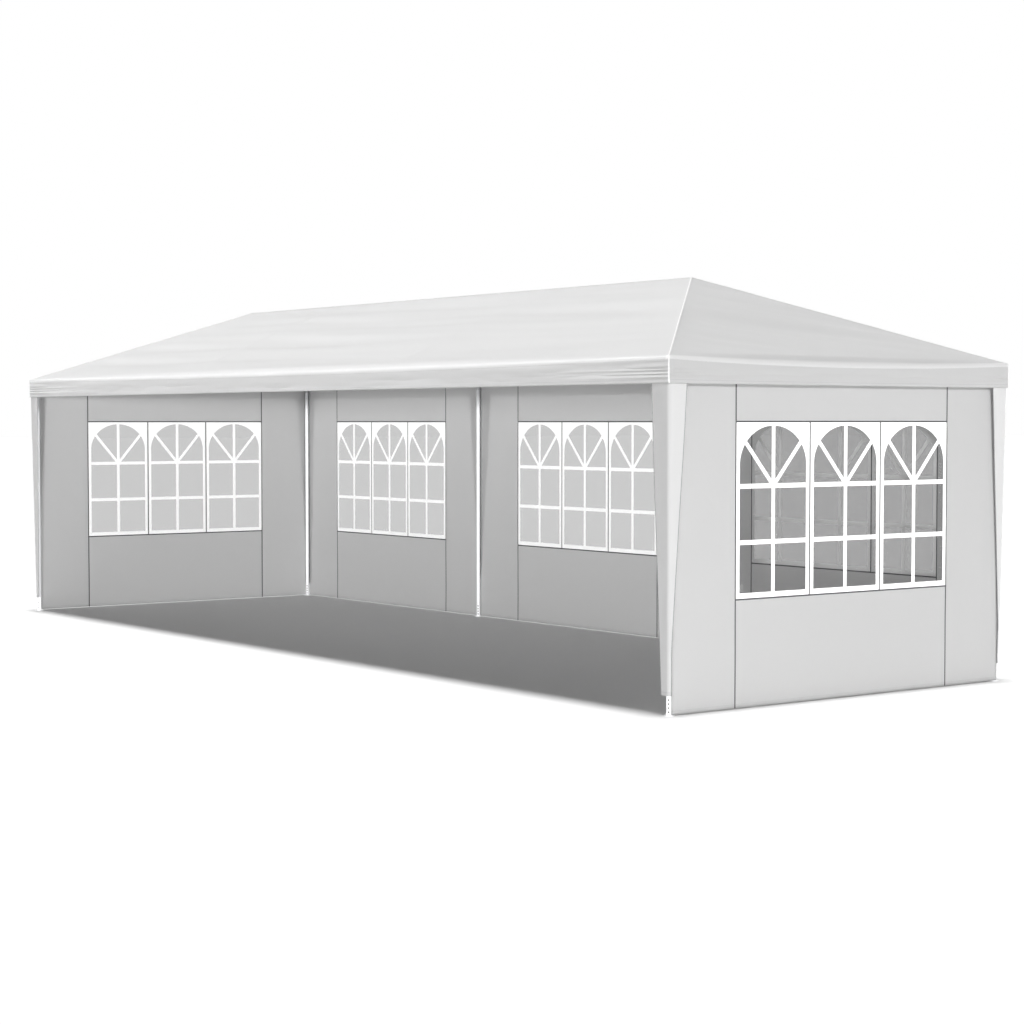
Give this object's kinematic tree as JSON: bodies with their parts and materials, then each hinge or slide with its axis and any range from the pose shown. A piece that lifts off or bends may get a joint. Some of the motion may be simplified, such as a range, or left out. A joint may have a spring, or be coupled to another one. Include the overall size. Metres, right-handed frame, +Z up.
{
  "type": "marquee tent",
  "caption": "Open-fronted party marquee: tube frame, hip roof sheet with valance, side panels with arched film windows.",
  "frame": {"origin": "on the ground under the middle of the roof", "axes": "+X along the long side, towards the right end; the open long side faces -Y; +Z up"},
  "size_m": [9, 3, 2.73],
  "materials": {
    "white_steel": "white powder coat, semi-gloss",
    "fitting_steel": "white powder coat over pressed fittings",
    "roof_sheet": "woven polyethylene sheet, slight sheen",
    "wall_sheet": "woven polyethylene sheet, slight sheen",
    "window_film": "clear soft plastic film, hazy"
  },
  "bodies": {
    "root": {"canopy": "roof_sheet", "corner_flap_back_left": "roof_sheet", "corner_flap_back_right": "roof_sheet", "corner_flap_front_left": "roof_sheet", "corner_flap_front_right": "roof_sheet", "corner_joint_back_left": "fitting_steel", "corner_joint_back_right": "fitting_steel", "corner_joint_front_left": "fitting_steel", "corner_joint_front_right": "fitting_steel", "eave_rail_back": "white_steel", "eave_rail_front": "white_steel", "eave_rail_left": "white_steel", "eave_rail_right": "white_steel", "foot_back_left": "white_steel", "foot_back_mid_left": "white_steel", "foot_back_mid_right": "white_steel", "foot_back_right": "white_steel", "foot_front_left": "white_steel", "foot_front_right": "white_steel", "hip_rafter_back_left": "white_steel", "hip_rafter_back_right": "white_steel", "hip_rafter_front_left": "white_steel", "hip_rafter_front_right": "white_steel", "leg_back_left": "white_steel", "leg_back_mid_left": "white_steel", "leg_back_mid_right": "white_steel", "leg_back_right": "white_steel", "leg_front_left": "white_steel", "leg_front_right": "white_steel", "mid_flap_left": "roof_sheet", "mid_flap_right": "roof_sheet", "peak_joint_left": "fitting_steel", "peak_joint_right": "fitting_steel", "rafter_back_left": "white_steel", "rafter_back_right": "white_steel", "rafter_front_left": "white_steel", "rafter_front_right": "white_steel", "ridge_pole": "white_steel", "wall_back_left": "wall_sheet", "wall_back_middle": "wall_sheet", "wall_back_right": "wall_sheet", "wall_end_left": "wall_sheet", "wall_end_right": "wall_sheet", "window_back_left": "window_film", "window_back_middle": "window_film", "window_back_right": "window_film", "window_end_left": "window_film", "window_end_right": "window_film"}
  },
  "joints": []
}
